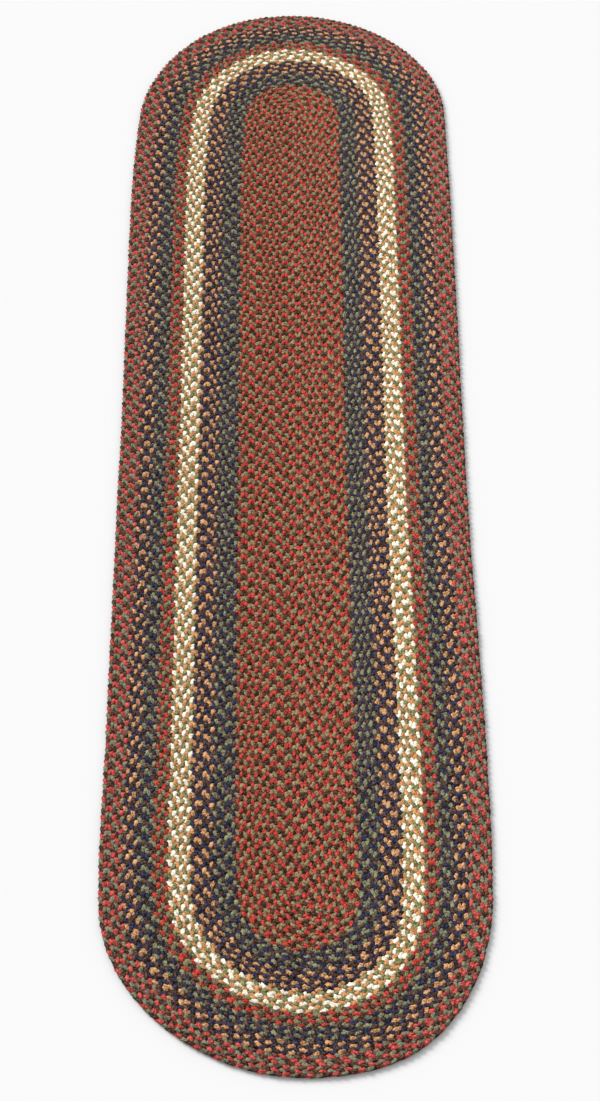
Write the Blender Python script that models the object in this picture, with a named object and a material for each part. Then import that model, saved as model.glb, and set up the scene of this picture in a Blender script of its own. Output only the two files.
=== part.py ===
"""A long oval rug of flat three-strand braid, sewn on lap by lap round a straight centre fold.

Metres, +Z up. X runs across the rug and Y along it. The rug lies on z = 0, and the origin is on
the floor under the middle of its outline. Each band is the braid that is plaited from one set of
three yarns, and each of its laps stands up as a rib between two seams.
"""

import math
from collections import namedtuple

import bmesh
import bpy

# Driving dimensions, in metres.
RUG_WIDTH = 0.610  # edge to edge across the straight sides
RUG_LENGTH = 2.438  # end to end
FIELD_LAP = 0.0120  # width of each lap of the centre field, sewn a little looser than the rest
CROWN_HEIGHT = 0.008  # the top of a lap of braid
SEAM_HEIGHT = 0.005  # the bottom of the groove between two laps
EDGE_HEIGHT = 0.0035  # where the outermost lap bulges furthest
EDGE_UNDERCUT = 0.0015  # how far that bulge overhangs the underside
BAND_GAP = 0.0003  # between one band and the next

# How finely the oval is drawn.
END_STEPS = 18  # round each half-circle end
SIDE_STEPS = 4  # along each straight side

# A lap's flat crown, as shares of its width, from its inner seam.
CROWN_START = 0.27
CROWN_END = 0.73

WELD = 0.00001  # points of the centre fold nearer than this are one point

# The bands from the centre out, with the mean linear colour of their three yarns.
Band = namedtuple("Band", "name laps color roughness")
BANDS = (
    Band("centre_field", 8, (0.239, 0.076, 0.042), 0.92),
    Band("inner_sage_band", 3, (0.073, 0.071, 0.049), 0.92),
    Band("inner_tan_band", 3, (0.224, 0.116, 0.060), 0.92),
    Band("cream_band", 3, (0.563, 0.454, 0.311), 0.88),
    Band("inner_red_band", 2, (0.239, 0.076, 0.042), 0.92),
    Band("outer_sage_band", 2, (0.073, 0.071, 0.049), 0.92),
    Band("outer_tan_band", 2, (0.224, 0.116, 0.060), 0.92),
    Band("outer_red_band", 3, (0.239, 0.076, 0.042), 0.92),
)

# Where hand sewing leaves the rug off the true oval. Each row is the middle of a soft push, the
# distance over which it fades, and how far the braid is moved there.
Push = namedtuple("Push", "x y reach move_x move_y")
PUSHES = (
    Push(-0.240, 1.020, 0.130, 0.0140, -0.0045),  # left shoulder of the far end, drawn in
    Push(0.150, 1.020, 0.110, -0.0060, -0.0020),  # right shoulder of the far end, drawn in a little
    Push(0.140, 1.155, 0.100, -0.0015, -0.0010),  # the edge above that shoulder, drawn in a little
    Push(0.000, 0.950, 0.110, 0.0035, -0.0080),  # centre fold stops short at the far end
    Push(-0.130, -1.065, 0.100, 0.0145, 0.0030),  # left shoulder of the near end, drawn in
    Push(-0.140, -1.155, 0.070, 0.0010, 0.0020),  # the edge below that shoulder, drawn in a little
    Push(0.000, -0.920, 0.110, 0.0010, 0.0025),  # centre fold stops a little short at the near end
    Push(0.165, -1.210, 0.090, 0.0140, -0.0070),  # right of the near end, bulging out
    Push(0.270, -0.960, 0.080, -0.0070, -0.0025),  # just above that bulge, drawn in
    Push(0.290, -0.200, 0.140, -0.0020, 0.0000),  # waist of the right side
    Push(0.300, 0.050, 0.240, -0.0035, -0.0010),  # the same waist, higher up
    Push(-0.290, 0.700, 0.200, -0.0010, 0.0000),  # left side below the far shoulder, a little wide
    Push(-0.290, 0.100, 0.100, 0.0015, 0.0000),  # waist of the left side
    Push(-0.290, -0.800, 0.070, -0.0020, 0.0000),  # foot of the left side, a little wide
)

OUTER_RADIUS = RUG_WIDTH / 2
FIELD_RADIUS = BANDS[0].laps * FIELD_LAP
RING_LAP = (OUTER_RADIUS - FIELD_RADIUS) / sum(band.laps for band in BANDS[1:])
FOLD_LENGTH = RUG_LENGTH - RUG_WIDTH  # the straight fold that the laps run round


def clear_scene():
    for old in list(bpy.data.objects):
        bpy.data.objects.remove(old, do_unlink=True)


def stations():
    """The steps round the rug: a place along the centre fold, and the way out from it."""
    half = FOLD_LENGTH / 2
    steps = []
    for start, angle, heading in ((-half, 0.0, 1), (half, math.pi, -1)):
        for i in range(SIDE_STEPS):
            steps.append((start + heading * FOLD_LENGTH * i / SIDE_STEPS, angle))
        for i in range(END_STEPS):
            steps.append((-start, angle + math.pi * i / END_STEPS))
    return steps


def pushed(x, y):
    """A point of the true oval, moved to where the uneven rug has it."""
    new_x, new_y = x, y
    for push in PUSHES:
        share = math.exp(-((x - push.x) ** 2 + (y - push.y) ** 2) / (2 * push.reach**2))
        new_x += share * push.move_x
        new_y += share * push.move_y
    return new_x, new_y


def place(station, radius):
    """The uneven rug's point at a distance out from the centre fold."""
    along, angle = station
    return pushed(radius * math.cos(angle), along + radius * math.sin(angle))


def middle_of_outline():
    edge = [place(station, OUTER_RADIUS) for station in stations()]
    low_x, low_y = (min(axis) for axis in zip(*edge))
    high_x, high_y = (max(axis) for axis in zip(*edge))
    return (low_x + high_x) / 2, (low_y + high_y) / 2


def crowns(inner_radius, laps, lap_width):
    """The tops of the laps, from the inner seam out: (distance from the fold, height)."""
    top = []
    for lap in range(laps):
        seam = inner_radius + lap * lap_width
        if lap > 0:
            top.append((seam, SEAM_HEIGHT))
        top.append((seam + CROWN_START * lap_width, CROWN_HEIGHT))
        top.append((seam + CROWN_END * lap_width, CROWN_HEIGHT))
    return top


def outer_wall(radius):
    """The outer side of a band, from its top down to the floor."""
    if radius > OUTER_RADIUS - RING_LAP / 2:
        return [(OUTER_RADIUS, EDGE_HEIGHT), (OUTER_RADIUS - EDGE_UNDERCUT, 0.0)]
    side = radius - BAND_GAP / 2
    return [(side, SEAM_HEIGHT), (side, 0.0)]


def new_rings(bm, profile, origin):
    """A ring of points round the rug for each point of the profile."""
    rings = []
    for radius, height in profile:
        ring = []
        for station in stations():
            x, y = place(station, radius)
            ring.append(bm.verts.new((x - origin[0], y - origin[1], height)))
        rings.append(ring)
    return rings


def bridge(bm, inner, outer):
    count = len(inner)
    for i in range(count):
        j = (i + 1) % count
        bm.faces.new((inner[i], outer[i], outer[j], inner[j]))


def centre_mesh(bm, laps, origin):
    """The laps that fill the middle, folded together along the centre fold."""
    profile = [(0.0, SEAM_HEIGHT), *crowns(0.0, laps, FIELD_LAP), *outer_wall(FIELD_RADIUS)]
    rings = new_rings(bm, profile, origin)
    for inner, outer in zip(rings, rings[1:]):
        bridge(bm, inner, outer)
    bm.faces.new(list(reversed(rings[-1])))
    bmesh.ops.remove_doubles(bm, verts=rings[0], dist=WELD)


def band_mesh(bm, inner_radius, laps, origin):
    """A closed band of laps round the ones inside it."""
    side = inner_radius + BAND_GAP / 2
    profile = [(side, 0.0), (side, SEAM_HEIGHT), *crowns(inner_radius, laps, RING_LAP)]
    profile += outer_wall(inner_radius + laps * RING_LAP)
    rings = new_rings(bm, profile, origin)
    for inner, outer in zip(rings, rings[1:] + rings[:1]):
        bridge(bm, inner, outer)


def yarn_material(band):
    material = bpy.data.materials.new(band.name)
    material.use_nodes = True
    shader = material.node_tree.nodes["Principled BSDF"]
    shader.inputs["Base Color"].default_value = (*band.color, 1.0)
    shader.inputs["Roughness"].default_value = band.roughness
    shader.inputs["Metallic"].default_value = 0.0
    return material


def add_band(band, inner_radius, origin):
    bm = bmesh.new()
    if inner_radius == 0:
        centre_mesh(bm, band.laps, origin)
    else:
        band_mesh(bm, inner_radius, band.laps, origin)
    bmesh.ops.recalc_face_normals(bm, faces=bm.faces)
    mesh = bpy.data.meshes.new(band.name)
    bm.to_mesh(mesh)
    bm.free()
    mesh.materials.append(yarn_material(band))
    rug_band = bpy.data.objects.new(band.name, mesh)
    bpy.context.scene.collection.objects.link(rug_band)


def main():
    clear_scene()
    origin = middle_of_outline()
    add_band(BANDS[0], 0.0, origin)
    inner_radius = FIELD_RADIUS
    for band in BANDS[1:]:
        add_band(band, inner_radius, origin)
        inner_radius += band.laps * RING_LAP


main()
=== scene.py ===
"""The looks of a long oval braided rug: every lap as three plaited yarns, on a pale studio floor."""

import math
from collections import namedtuple

import bpy
import numpy as np
from mathutils import Matrix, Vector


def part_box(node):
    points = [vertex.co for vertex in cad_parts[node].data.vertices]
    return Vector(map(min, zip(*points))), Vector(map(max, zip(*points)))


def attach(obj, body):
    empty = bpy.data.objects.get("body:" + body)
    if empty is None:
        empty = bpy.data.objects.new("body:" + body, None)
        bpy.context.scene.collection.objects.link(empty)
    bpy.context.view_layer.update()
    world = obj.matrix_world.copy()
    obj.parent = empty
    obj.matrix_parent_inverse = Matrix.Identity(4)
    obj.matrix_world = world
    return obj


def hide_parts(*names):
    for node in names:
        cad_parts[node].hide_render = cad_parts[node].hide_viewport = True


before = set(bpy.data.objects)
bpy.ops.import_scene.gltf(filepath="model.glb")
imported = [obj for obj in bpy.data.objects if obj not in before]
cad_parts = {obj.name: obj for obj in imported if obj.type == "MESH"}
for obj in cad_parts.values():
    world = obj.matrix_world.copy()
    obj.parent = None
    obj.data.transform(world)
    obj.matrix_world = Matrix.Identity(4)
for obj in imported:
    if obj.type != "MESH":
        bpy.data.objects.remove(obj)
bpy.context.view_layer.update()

MM = 0.001

# ---------------------------------------------------------------- the rug's sizes, in metres

RUG_WIDTH = 0.610
RUG_LENGTH = 2.438
OUTER_RADIUS = RUG_WIDTH / 2
FOLD_LENGTH = RUG_LENGTH - RUG_WIDTH  # the straight fold that the laps run round
RUG_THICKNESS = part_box("centre_field")[1].z

# The bands from the centre out: their CAD node, laps of braid, the record's slot, the length in
# which one yarn makes a full turn of the plait, the three yarns in the order they come up, and how
# far each lap's plait is ahead of the lap inside it halfway along the left side, in degrees.
Band = namedtuple("Band", "node laps slot turn yarns leads")
FIELD_LEADS = (0, -128, 86, -151, -47, -92, 127, -112)
BANDS = (
    Band("centre_field", 8, "red_braid", 0.0348, ("red", "olive", "brown"), FIELD_LEADS),
    Band("inner_sage_band", 3, "sage_braid", 0.0360, ("sage", "umber", "navy"), (0, -89, 68)),
    Band("inner_tan_band", 3, "tan_braid", 0.0364, ("tan", "navy", "umber"), (0, 111, 178)),
    Band("cream_band", 3, "cream_braid", 0.0368, ("cream", "green", "ochre"), (0, -67, 120)),
    Band("inner_red_band", 2, "red_braid", 0.0353, ("red", "bark", "moss"), (0, -130)),
    Band("outer_sage_band", 2, "sage_braid", 0.0360, ("sage", "umber", "navy"), (0, 150)),
    Band("outer_tan_band", 2, "tan_braid", 0.0362, ("tan", "navy", "umber"), (0, -164)),
    Band("outer_red_band", 3, "red_braid", 0.0353, ("rose", "bark", "lichen"), (0, 111, 150)),
)
FIELD_LAP = 0.0120  # width of each lap of the centre field, sewn a little looser than the rest
FIELD_LAPS = BANDS[0].laps
RING_LAP = (OUTER_RADIUS - FIELD_LAPS * FIELD_LAP) / sum(band.laps for band in BANDS[1:])

# Where hand sewing leaves the rug off the true oval, as in the solids: the middle of each soft
# push, the distance over which it fades, and how far the braid is moved there.
Push = namedtuple("Push", "x y reach move_x move_y")
PUSHES = (
    Push(-0.240, 1.020, 0.130, 0.0140, -0.0045),  # left shoulder of the far end, drawn in
    Push(0.150, 1.020, 0.110, -0.0060, -0.0020),  # right shoulder of the far end, drawn in a little
    Push(0.140, 1.155, 0.100, -0.0015, -0.0010),  # the edge above that shoulder, drawn in a little
    Push(0.000, 0.950, 0.110, 0.0035, -0.0080),  # centre fold stops short at the far end
    Push(-0.130, -1.065, 0.100, 0.0145, 0.0030),  # left shoulder of the near end, drawn in
    Push(-0.140, -1.155, 0.070, 0.0010, 0.0020),  # the edge below that shoulder, drawn in a little
    Push(0.000, -0.920, 0.110, 0.0010, 0.0025),  # centre fold stops a little short at the near end
    Push(0.165, -1.210, 0.090, 0.0140, -0.0070),  # right of the near end, bulging out
    Push(0.270, -0.960, 0.080, -0.0070, -0.0025),  # just above that bulge, drawn in
    Push(0.290, -0.200, 0.140, -0.0020, 0.0000),  # waist of the right side
    Push(0.300, 0.050, 0.240, -0.0035, -0.0010),  # the same waist, higher up
    Push(-0.290, 0.700, 0.200, -0.0010, 0.0000),  # left side below the far shoulder, a little wide
    Push(-0.290, 0.100, 0.100, 0.0015, 0.0000),  # waist of the left side
    Push(-0.290, -0.800, 0.070, -0.0020, 0.0000),  # foot of the left side, a little wide
)
OUTLINE_POINTS = 720  # at which the outline is measured for its middle
PIECE_LAPS = 4  # a wide band is made in pieces of at most this many laps

# ---------------------------------------------------------------- a strand of the plait

STRANDS = 3  # in each lap

# The half turn of a strand that comes over the top of the braid's outer side. The other half is its
# mirror image. Each ring of points has its phase, in degrees, its place outward and upward from the
# braid's middle, its width and depth, in millimetres, and its lean outward, in degrees.
Ring = namedtuple("Ring", "phase aside lift width depth lean")
HALF_TURN = (
    Ring(-30, -2.7, -2.1, 7.6, 3.2, 8),
    Ring(8, 1.4, 1.1, 8.9, 4.5, -5),
    Ring(37, 3.2, 1.1, 7.0, 4.0, 4),
    Ring(69, 3.0, 1.7, 10.8, 3.5, -10),
)
NEXT_HALF = (180, 0, 0, 0, 0, 0)  # what is added to a ring, once mirrored, for the other half
MIRROR = (1, -1, 1, 1, 1, -1)
TURN = np.concatenate([HALF_TURN, np.array(HALF_TURN) * MIRROR + NEXT_HALF])

# How uneven the hand plaiting is, as standard deviations: of the whole plait along its lap, of each
# half turn, of each ring and of each point. The widths are shares.
DRIFT = 0.0035
DRIFT_KNOTS = 12  # places round a lap between which the drift changes
LUMP_ALONG = 0.0004
LUMP_ASIDE = 0.0002
LUMP_LIFT = 0.00015
LUMP_WIDTH = 0.05
RING_ALONG = 0.0002
RING_WIDTH = 0.03
POINT_PLACE = 0.00035
EDGE_NARROWING = 0.82  # of the strands of the outermost lap, which has no lap to press against
SIDES = np.radians([240, 300, 0, 60, 120, 180])  # points round a strand, from below

# Every turn of a strand lies on a tile of its piece's map, which has a column for each of the three
# yarns and a row for each variant of the yarn's surface.
VARIANTS = 16
TILE_MARGIN = 0.04  # a share of a tile
TURN_LENGTH = 0.041  # along the strand, and so the width of a tile
STRAND_GIRTH = 0.0155  # around the strand, and so the height of a tile


def pushed(points):
    """Points of the true oval, moved to where the uneven rug has them."""
    moved = points.copy()
    for push in PUSHES:
        away = ((points - (push.x, push.y)) ** 2).sum(-1)
        share = np.exp(-away / (2 * push.reach**2))
        moved += share[..., None] * (push.move_x, push.move_y)
    return moved


def half_lap(radius):
    """Half the length of a lap, which is one straight side and one end."""
    return FOLD_LENGTH + math.pi * radius


def oval(distance, radius, aside=0.0):
    """Points at a distance along the lap of that radius, clockwise, moved aside outward."""
    half = half_lap(radius)
    way = np.mod(distance, 2 * half)
    far = way >= half
    way = np.where(far, way - half, way)
    angle = np.maximum(way - FOLD_LENGTH, 0) / radius
    along = np.minimum(way, FOLD_LENGTH) - FOLD_LENGTH / 2
    reach = radius + aside
    x = -reach * np.cos(angle)
    y = along + reach * np.sin(angle)
    side = np.where(far, -1, 1)
    return pushed(np.stack([side * x, side * y], -1))


def lap_radius(place):
    """How far from the fold a place is that is counted in laps from it."""
    return min(place, FIELD_LAPS) * FIELD_LAP + max(place - FIELD_LAPS, 0) * RING_LAP


def outline_middle():
    edge = oval(np.linspace(0, 2 * half_lap(OUTER_RADIUS), OUTLINE_POINTS), OUTER_RADIUS)
    return (edge.min(0) + edge.max(0)) / 2


ORIGIN = outline_middle()


def unit(vectors):
    return vectors / np.linalg.norm(vectors, axis=-1, keepdims=True)


def new_piece(name, points, quads, slots, places, materials):
    """A smooth mesh of quads, with the material slot of each and the map places of its corners."""
    mesh = bpy.data.meshes.new(name)
    mesh.vertices.add(len(points))
    mesh.vertices.foreach_set("co", points.astype(np.float32).ravel())
    mesh.loops.add(quads.size)
    mesh.loops.foreach_set("vertex_index", quads.astype(np.int32).ravel())
    mesh.polygons.add(len(quads))
    mesh.polygons.foreach_set("loop_start", np.arange(0, quads.size, 4, dtype=np.int32))
    mesh.polygons.foreach_set("material_index", slots.astype(np.int32))
    mesh.uv_layers.new(name="OFBake")
    mesh.uv_layers["OFBake"].data.foreach_set("uv", places.astype(np.float32).ravel())
    for material in materials:
        mesh.materials.append(material)
    mesh.update(calc_edges=True)
    mesh.shade_smooth()
    piece = bpy.data.objects.new(name, mesh)
    bpy.context.scene.collection.objects.link(piece)
    return piece


def wander(values, share):
    """Smooth noise through those values, spread round a closed lap, at shares of its length."""
    at = np.mod(share, 1) * len(values)
    low = np.floor(at).astype(int) % len(values)
    mix = (1 - np.cos((at - np.floor(at)) * math.pi)) / 2
    return values[low] * (1 - mix) + values[(low + 1) % len(values)] * mix


def strand(rng, radius, turns, start, order, drift):
    """One yarn of a lap: its points, a row for each ring, and the variant of each turn.

    The lap's first yarn has the phase `start` at the near end of the left side, and each further
    one in their order is a third of a turn behind.
    """
    rows = np.tile(TURN, (turns, 1))
    count = len(rows)
    phase, aside, lift, width, depth, lean = rows.T
    phase = np.radians(phase) + 2 * math.pi * np.repeat(np.arange(turns), len(TURN))
    share = (phase - start + order * 2 * math.pi / STRANDS) / (2 * math.pi * turns)
    lump = np.repeat(rng.normal(0, 1, (2 * turns, 4)), len(HALF_TURN), axis=0)
    distance = 2 * half_lap(radius) * share + DRIFT * wander(drift, share)
    distance += LUMP_ALONG * lump[:, 0] + rng.normal(0, RING_ALONG, count)
    aside = MM * aside + LUMP_ASIDE * lump[:, 1]
    height = RUG_THICKNESS / 2 + MM * lift + LUMP_LIFT * lump[:, 2]

    middle = np.concatenate([oval(distance, radius, aside) - ORIGIN, height[:, None]], 1)
    forward = unit(np.roll(middle, -1, 0) - np.roll(middle, 1, 0))
    across = unit(np.cross((0, 0, 1), forward))
    above = np.cross(forward, across)
    lean = np.radians(lean)[:, None]
    side = np.cos(lean) * across - np.sin(lean) * above
    crown = np.sin(lean) * across + np.cos(lean) * above

    half_width = MM / 2 * width * (1 + LUMP_WIDTH * lump[:, 3] + rng.normal(0, RING_WIDTH, count))
    if radius > OUTER_RADIUS - RING_LAP:
        half_width *= EDGE_NARROWING
    half_depth = MM / 2 * depth
    points = (
        middle[:, None]
        + (half_width[:, None] * np.cos(SIDES))[..., None] * side[:, None]
        + (half_depth[:, None] * np.sin(SIDES))[..., None] * crown[:, None]
    )
    points += rng.normal(0, POINT_PLACE, points.shape)
    points[..., 2] = np.clip(points[..., 2], 0, RUG_THICKNESS)
    return points, rng.integers(0, VARIANTS, turns)


def tube_quads(rings):
    """The quads between the rings of a closed tube, as (ring, side, corner) point numbers."""
    ring = np.arange(rings)[:, None]
    side = np.arange(len(SIDES))[None]
    after = (ring + 1) % rings
    beside = (side + 1) % len(SIDES)
    here, there = ring * len(SIDES), after * len(SIDES)
    return np.stack([here + side, here + beside, there + beside, there + side], -1)


def tube_places(variants, order):
    """The map places of those quads' corners: a tile for each turn, stacked on its variant."""
    steps, sides = len(TURN), len(SIDES)
    inside = 1 - 2 * TILE_MARGIN
    across = (order + TILE_MARGIN + inside * np.arange(steps + 1) / steps) / STRANDS
    up = (TILE_MARGIN + inside * np.arange(sides + 1) / sides) / VARIANTS
    u = np.stack([across[:-1], across[:-1], across[1:], across[1:]], -1)[None, :, None]
    v = np.stack([up[:-1], up[1:], up[1:], up[:-1]], -1)[None, None]
    v = v + (variants / VARIANTS)[:, None, None, None]
    shape = (len(variants), steps, sides, 4)
    return np.stack([np.broadcast_to(u, shape), np.broadcast_to(v, shape)], -1)


def braid_piece(name, band, inside, first_lap, laps, materials):
    """A piece with some laps of a band, each of three yarns plaited together.

    The band goes round as many laps as `inside` says, and the piece starts at its `first_lap`.
    """
    points, quads, slots, places, used = [], [], [], [], 0
    for lap in range(first_lap, first_lap + laps):
        rng = np.random.default_rng(inside + lap)
        radius = lap_radius(inside + lap + 0.5)
        length = 2 * half_lap(radius)
        turns = round(length / band.turn)
        halfway = 2 * math.pi * turns * (FOLD_LENGTH / 2) / length
        start = math.radians(sum(band.leads[: lap + 1])) - halfway
        drift = rng.normal(0, 1, DRIFT_KNOTS)
        for order in range(STRANDS):
            rings, variants = strand(rng, radius, turns, start, order, drift)
            faces = tube_quads(len(rings)) + used
            used += rings.shape[0] * rings.shape[1]
            points.append(rings.reshape(-1, 3))
            quads.append(faces.reshape(-1, 4))
            slots.append(np.full(faces.shape[0] * faces.shape[1], order))
            places.append(tube_places(variants, order).reshape(-1, 2))
    joined = [np.concatenate(parts) for parts in (points, quads, slots, places)]
    return new_piece(name, *joined, [materials[yarn] for yarn in band.yarns])


# ---------------------------------------------------------------- the yarn packed inside

GROUND_BOTTOM = 0.0030
GROUND_SEAM = 0.0040
GROUND_CROWN = 0.0046
GROUND_INSET = 0.0026  # from the outline
GROUND_FOLD = 0.0005  # from the middle of the fold
GROUND_END_STEPS = 20
GROUND_SIDE_STEPS = 10


def ground_piece(materials):
    """The closed ribbed sheet of yarn packed between the strands, with a material for each band."""
    profile = [(GROUND_FOLD, GROUND_SEAM)]
    slots = []
    lap = 0
    for number, band in enumerate(BANDS):
        for _ in range(band.laps):
            profile.append((lap_radius(lap + 0.5), GROUND_CROWN))
            profile.append((lap_radius(lap + 1), GROUND_SEAM))
            slots += [number, number]
            lap += 1
    profile[-1] = (OUTER_RADIUS - GROUND_INSET, GROUND_SEAM)
    profile.append((OUTER_RADIUS - GROUND_INSET, GROUND_BOTTOM))
    profile.append((GROUND_FOLD, GROUND_BOTTOM))
    slots += [len(BANDS) - 1, 0, 0]
    rings = []
    for radius, height in profile:
        side = np.arange(GROUND_SIDE_STEPS) * FOLD_LENGTH / GROUND_SIDE_STEPS
        end = FOLD_LENGTH + np.arange(GROUND_END_STEPS) * math.pi * radius / GROUND_END_STEPS
        half = np.concatenate([side, end])
        flat = oval(np.concatenate([half, half + half_lap(radius)]), radius)
        rings.append(np.concatenate([flat - ORIGIN, np.full((len(flat), 1), height)], 1))
    rings = np.array(rings)
    count, steps = rings.shape[:2]
    ring = np.arange(count)[:, None]
    step = np.arange(steps)[None]
    after, beside = (ring + 1) % count * steps, (step + 1) % steps
    here = ring * steps
    quads = np.stack([here + step, here + beside, after + beside, after + step], -1)
    points, quads = rings.reshape(-1, 3), quads.reshape(-1, 4)
    places = points[quads.ravel(), :2] / RUG_LENGTH + 0.5  # the plan of the rug, in the whole map
    return new_piece("packed_yarn", points, quads, np.repeat(slots, steps), places, materials)


# ---------------------------------------------------------------- yarn

# Each yarn's linear colour over most of it; how much of that is left in the hollows between its
# plies, which is painted shade there, partly also tone that differs at random; and its paler colour,
# partly where wear and loose fibres fleck it and partly a painted highlight on its fibres.
Yarn = namedtuple("Yarn", "color hollow worn")
YARNS = {
    "red": Yarn((0.464, 0.047, 0.033), 0.42, (0.670, 0.084, 0.062)),
    "rose": Yarn((0.505, 0.066, 0.054), 0.42, (0.725, 0.118, 0.098)),
    "olive": Yarn((0.255, 0.189, 0.092), 0.40, (0.355, 0.260, 0.134)),
    "moss": Yarn((0.214, 0.184, 0.093), 0.40, (0.300, 0.258, 0.142)),
    "lichen": Yarn((0.212, 0.190, 0.120), 0.40, (0.285, 0.254, 0.165)),
    "brown": Yarn((0.062, 0.024, 0.011), 0.20, (0.155, 0.080, 0.046)),
    "bark": Yarn((0.066, 0.029, 0.018), 0.20, (0.160, 0.088, 0.060)),
    "sage": Yarn((0.204, 0.206, 0.118), 0.38, (0.308, 0.304, 0.178)),
    "umber": Yarn((0.062, 0.031, 0.022), 0.20, (0.155, 0.090, 0.068)),
    "navy": Yarn((0.023, 0.0225, 0.048), 0.24, (0.060, 0.056, 0.108)),
    "tan": Yarn((0.550, 0.281, 0.130), 0.38, (0.765, 0.410, 0.193)),
    "cream": Yarn((0.985, 0.905, 0.715), 0.57, (0.990, 0.985, 0.900)),
    "ochre": Yarn((0.580, 0.270, 0.107), 0.50, (0.780, 0.385, 0.160)),
    "green": Yarn((0.200, 0.195, 0.077), 0.40, (0.310, 0.300, 0.130)),
}
YARN_SURFACE = {
    "Roughness": 0.92,
    "Specular IOR Level": 0.2,
    "Sheen Weight": 0.10,
    "Sheen Roughness": 0.5,
}

# The noises on a yarn: the size of their grain along and around it, the grain's slant to it, and
# how finely and how roughly it is broken up.
Grain = namedtuple("Grain", "along around slant detail roughness")
TWIST = math.radians(24)
PLIES = Grain(0.0110, 0.0018, TWIST, 1.0, 0.55)
FIBRES = Grain(0.0060, 0.0005, TWIST * 0.7, 2.0, 0.60)
SPECKS = Grain(0.0030, 0.0022, 0.0, 2.0, 0.60)
BLOTCHES = Grain(0.0240, 0.0120, 0.0, 0.0, 0.55)
TONE_SHARES = (0.35, 0.60, 0.10)  # of fibres, specks and blotches, each over the ones before
RELIEF_SHARES = (0.25, 0.40)  # of fibres and specks
RELIEF_DEPTH = 0.0016

# The tones at which a yarn in the open has its darkest colour, painted shade in the hollows between
# its plies, its main one, and its palest one, partly wear and loose fibres and partly painted
# highlight.
HOLLOW_SHADE_TONE = 0.43
MAIN_TONE = 0.50
WORN_HIGHLIGHT_TONE = 0.575

# Where a half turn is in the open, along it and around it from below, as shares: it comes out
# between the first two, and goes under its neighbours between the last two. Outside the open part
# the strand is darkened by painted shade.
OPEN_ALONG = (0.03, 0.30, 0.72, 0.97)
OPEN_AROUND = (0.25, 0.47, 0.69, 0.90)
PAINTED_SHADE_DEPTH = 0.20  # how much painted shade lowers a strand's tone where it is under its neighbours and on its flanks


def set_sockets(node, values):
    for socket, value in values.items():
        node.inputs[socket].default_value = value


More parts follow.
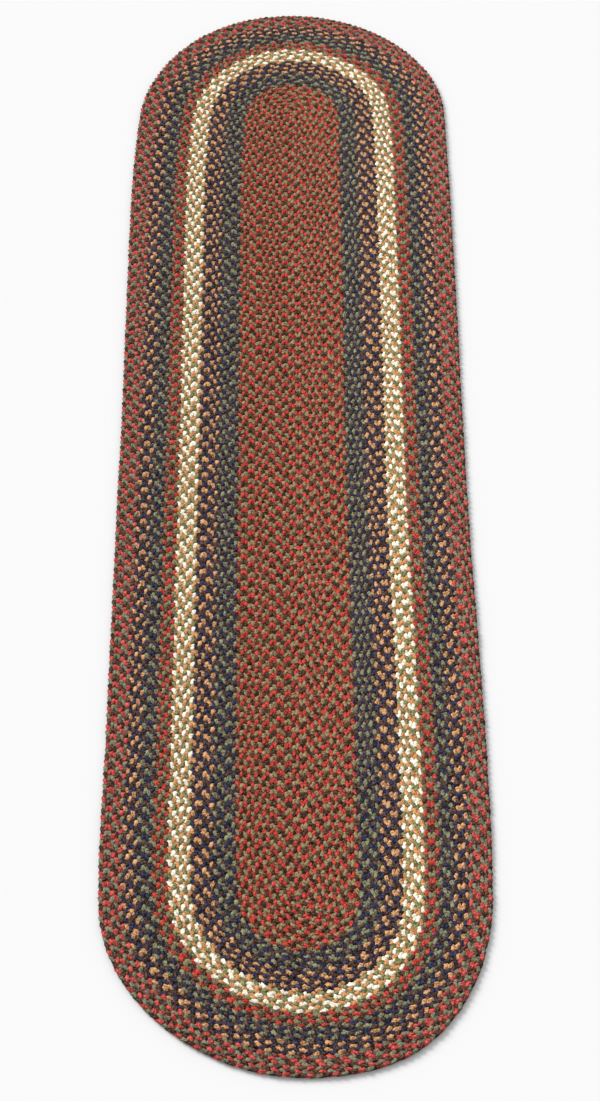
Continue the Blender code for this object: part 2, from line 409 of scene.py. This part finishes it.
def yarn_material(name, yarn):
    """Coarse spun yarn: slanting plies and fibres, soft blotches of tone, painted shade in its ply
    hollows and where it goes under its neighbours, painted highlights on its fibres, and a faint
    sheen.
    """
    material = bpy.data.materials.new(f"yarn_{name}")
    material.use_nodes = True
    nodes, links = material.node_tree.nodes, material.node_tree.links
    shader = nodes["Principled BSDF"]
    set_sockets(shader, YARN_SURFACE)
    shader.inputs["Sheen Tint"].default_value = (*yarn.worn, 1)

    where = nodes.new("ShaderNodeUVMap")
    where.uv_map = "OFBake"
    metric = nodes.new("ShaderNodeMapping")
    metric.inputs["Scale"].default_value = (STRANDS * TURN_LENGTH, VARIANTS * STRAND_GIRTH, 1)
    links.new(where.outputs["UV"], metric.inputs["Vector"])

    def noise(grain):
        mapping = nodes.new("ShaderNodeMapping")
        mapping.vector_type = "TEXTURE"
        mapping.inputs["Rotation"].default_value = (0, 0, grain.slant)
        mapping.inputs["Scale"].default_value = (grain.along, grain.around, 1)
        links.new(metric.outputs["Vector"], mapping.inputs["Vector"])
        texture = nodes.new("ShaderNodeTexNoise")
        texture.noise_dimensions = "2D"
        set_sockets(texture, {"Scale": 1, "Detail": grain.detail, "Roughness": grain.roughness})
        links.new(mapping.outputs["Vector"], texture.inputs["Vector"])
        return texture.outputs["Fac"]

    def layered(noises, shares):
        """The first noise, with that share of each later one laid over the ones before it."""
        result = noises[0]
        for layer, share in zip(noises[1:], shares):
            mix = nodes.new("ShaderNodeMix")
            mix.data_type = "FLOAT"
            mix.inputs["Factor"].default_value = share
            links.new(result, mix.inputs["A"])
            links.new(layer, mix.inputs["B"])
            result = mix.outputs["Result"]
        return result

    tile = nodes.new("ShaderNodeMapping")
    tile.inputs["Scale"].default_value = (2 * STRANDS, VARIANTS, 1)  # a half turn in each unit
    links.new(where.outputs["UV"], tile.inputs["Vector"])
    parts = nodes.new("ShaderNodeSeparateXYZ")
    links.new(tile.outputs["Vector"], parts.inputs["Vector"])

    def in_the_open(axis, stops):
        """1 along the open part of each half turn, or over the crown, and 0 where it is hidden under
        its neighbours and gets painted shade.
        """
        wrap = nodes.new("ShaderNodeMath")
        wrap.operation = "FRACT"
        links.new(parts.outputs[axis], wrap.inputs[0])
        fade = nodes.new("ShaderNodeValToRGB")
        fade.color_ramp.interpolation = "EASE"
        first, last = fade.color_ramp.elements
        first.position, first.color = stops[0], (0, 0, 0, 1)
        last.position, last.color = stops[3], (0, 0, 0, 1)
        for stop in stops[1:3]:
            fade.color_ramp.elements.new(stop).color = (1, 1, 1, 1)
        links.new(wrap.outputs["Value"], fade.inputs["Fac"])
        return fade.outputs["Color"]

    plies, fibres, specks, blotches = [noise(grain) for grain in (PLIES, FIBRES, SPECKS, BLOTCHES)]
    tone = layered([plies, fibres, specks, blotches], TONE_SHARES)
    # Painted shade: a strand's tone is lowered on its flanks and where it goes under its neighbours,
    # outside the open part.
    open_part = nodes.new("ShaderNodeMath")
    open_part.operation = "MULTIPLY"
    links.new(in_the_open("X", OPEN_ALONG), open_part.inputs[0])
    links.new(in_the_open("Y", OPEN_AROUND), open_part.inputs[1])
    shaded = nodes.new("ShaderNodeMath")
    shaded.operation = "MULTIPLY_ADD"
    shaded.inputs[1].default_value = PAINTED_SHADE_DEPTH
    links.new(open_part.outputs["Value"], shaded.inputs[0])
    links.new(tone, shaded.inputs[2])
    ramp = nodes.new("ShaderNodeValToRGB")
    ramp.color_ramp.interpolation = "LINEAR"
    # The ramp's dark end is painted shade in the ply hollows, partly darker tone at random; its pale
    # end is partly wear and loose fibres and partly a painted highlight.
    low, high = ramp.color_ramp.elements
    low.position = HOLLOW_SHADE_TONE + PAINTED_SHADE_DEPTH
    low.color = (*(yarn.hollow * part for part in yarn.color), 1)
    high.position = WORN_HIGHLIGHT_TONE + PAINTED_SHADE_DEPTH
    high.color = (*yarn.worn, 1)
    middle = ramp.color_ramp.elements.new(MAIN_TONE + PAINTED_SHADE_DEPTH)
    middle.color = (*yarn.color, 1)
    links.new(shaded.outputs["Value"], ramp.inputs["Fac"])
    links.new(ramp.outputs["Color"], shader.inputs["Base Color"])

    bump = nodes.new("ShaderNodeBump")
    set_sockets(bump, {"Strength": 1, "Distance": RELIEF_DEPTH})
    links.new(layered([plies, fibres, specks], RELIEF_SHARES), bump.inputs["Height"])
    links.new(bump.outputs["Normal"], shader.inputs["Normal"])
    return material


# ---------------------------------------------------------------- studio

# Where the photograph was taken from, fitted to the rug's outline in its 600 by 1101 frame.
CAMERA_PLACE = (0.00077, -3.11294, 3.45889)
CAMERA_PITCH = 0.698179  # from straight down, towards +Y
CAMERA_YAW = -0.003310
CAMERA_ROLL = -0.006316
CAMERA_FOCUS = 2643.88  # in the frame's pixels
FRAME_HEIGHT = 1101
SENSOR = 36.0  # millimetres, along the frame's height

FLOOR_HALF = 6.0  # half the width of the floor
FLOOR_COLOR = (0.76, 0.76, 0.76)
FLOOR_SURFACE = {"Roughness": 0.9, "Specular IOR Level": 0.1}

ROOM_COLOR = (1.0, 1.0, 1.0)
ROOM_STRENGTH = 0.70
WINDOW_STRENGTH = 3.35
WINDOW_WIDTH = math.radians(30)  # as it is seen from the rug
WINDOW_TURN = (math.radians(-33), math.radians(-51), 0)  # from straight overhead


def add_camera():
    data = bpy.data.cameras.new("camera")
    data.sensor_width = SENSOR
    data.lens = CAMERA_FOCUS * SENSOR / FRAME_HEIGHT
    camera = bpy.data.objects.new("camera", data)
    turn = Matrix.Rotation(CAMERA_YAW, 4, "Z")
    turn @= Matrix.Rotation(CAMERA_PITCH, 4, "X")
    turn @= Matrix.Rotation(CAMERA_ROLL, 4, "Z")
    x, y, z = CAMERA_PLACE
    camera.matrix_world = Matrix.Translation((x - ORIGIN[0], y - ORIGIN[1], z)) @ turn
    bpy.context.scene.collection.objects.link(camera)
    bpy.context.scene.camera = camera


def add_floor():
    mesh = bpy.data.meshes.new("floor")
    signs = [(-1, -1), (1, -1), (1, 1), (-1, 1)]
    mesh.from_pydata([(FLOOR_HALF * x, FLOOR_HALF * y, 0) for x, y in signs], [], [(0, 1, 2, 3)])
    material = bpy.data.materials.new("floor")
    material.use_nodes = True
    shader = material.node_tree.nodes["Principled BSDF"]
    set_sockets(shader, {"Base Color": (*FLOOR_COLOR, 1), **FLOOR_SURFACE})
    mesh.materials.append(material)
    floor = bpy.data.objects.new("floor", mesh)
    bpy.context.scene.collection.objects.link(floor)


def add_lights():
    """A bright even room, and a broad soft light from the upper left of the photograph."""
    world = bpy.data.worlds.new("studio")
    world.use_nodes = True
    background = world.node_tree.nodes["Background"]
    set_sockets(background, {"Color": (*ROOM_COLOR, 1), "Strength": ROOM_STRENGTH})
    bpy.context.scene.world = world
    data = bpy.data.lights.new("window", "SUN")
    data.energy = WINDOW_STRENGTH
    data.angle = WINDOW_WIDTH
    light = bpy.data.objects.new("window", data)
    light.rotation_euler = WINDOW_TURN
    bpy.context.scene.collection.objects.link(light)
    bpy.context.scene.view_settings.view_transform = "Standard"


# ---------------------------------------------------------------- the whole rug

def add_rug():
    materials = {name: yarn_material(name, yarn) for name, yarn in YARNS.items()}
    lap = 0
    for band in BANDS:
        done = 0
        while done < band.laps:
            laps = min(PIECE_LAPS, band.laps - done)
            name = f"{band.node}_braid_{done // PIECE_LAPS + 1}"
            piece = braid_piece(name, band, lap, done, laps, materials)
            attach(piece, "root")
            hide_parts(band.node)
            done += laps
        lap += band.laps
    ground = ground_piece([materials[band.yarns[2]] for band in BANDS])
    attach(ground, "root")


add_camera()
add_lights()
add_floor()
add_rug()
